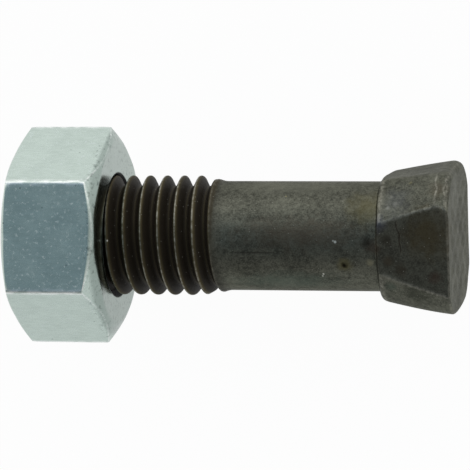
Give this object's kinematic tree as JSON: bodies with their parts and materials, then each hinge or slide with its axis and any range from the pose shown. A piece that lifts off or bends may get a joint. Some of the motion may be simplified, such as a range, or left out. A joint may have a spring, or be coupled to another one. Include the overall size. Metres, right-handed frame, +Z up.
{
  "type": "plow bolt",
  "caption": "Plough bolt lying at rest: black steel, tapered square countersunk head, plain shank and coarse right-hand thread, with a zinc-plated hexagon nut that turns on the thread.",
  "frame": {"origin": "middle of the footprint on the surface that the bolt lies on", "axes": "+X along the bolt from the nut to the head (the axis dips 3.32 degrees towards the head), +Z up"},
  "size_m": [0.0456, 0.0216, 0.0195],
  "materials": {
    "black_steel": "quenched and oiled black steel, mottled, worn pale at the edges",
    "zinc_plate": "bright zinc plate, cool grey, finely speckled"
  },
  "bodies": {
    "bolt": {"bolt": "black_steel"},
    "nut": {"hex_nut": "zinc_plate"}
  },
  "joints": [
    {"name": "nut_turn", "type": "hinge", "parent": "bolt", "child": "nut", "pos_m": [-0.01196, 0, 0.00946], "axis": [0.9983, 0, -0.0579], "range_deg": [-1800, 1800]}
  ]
}
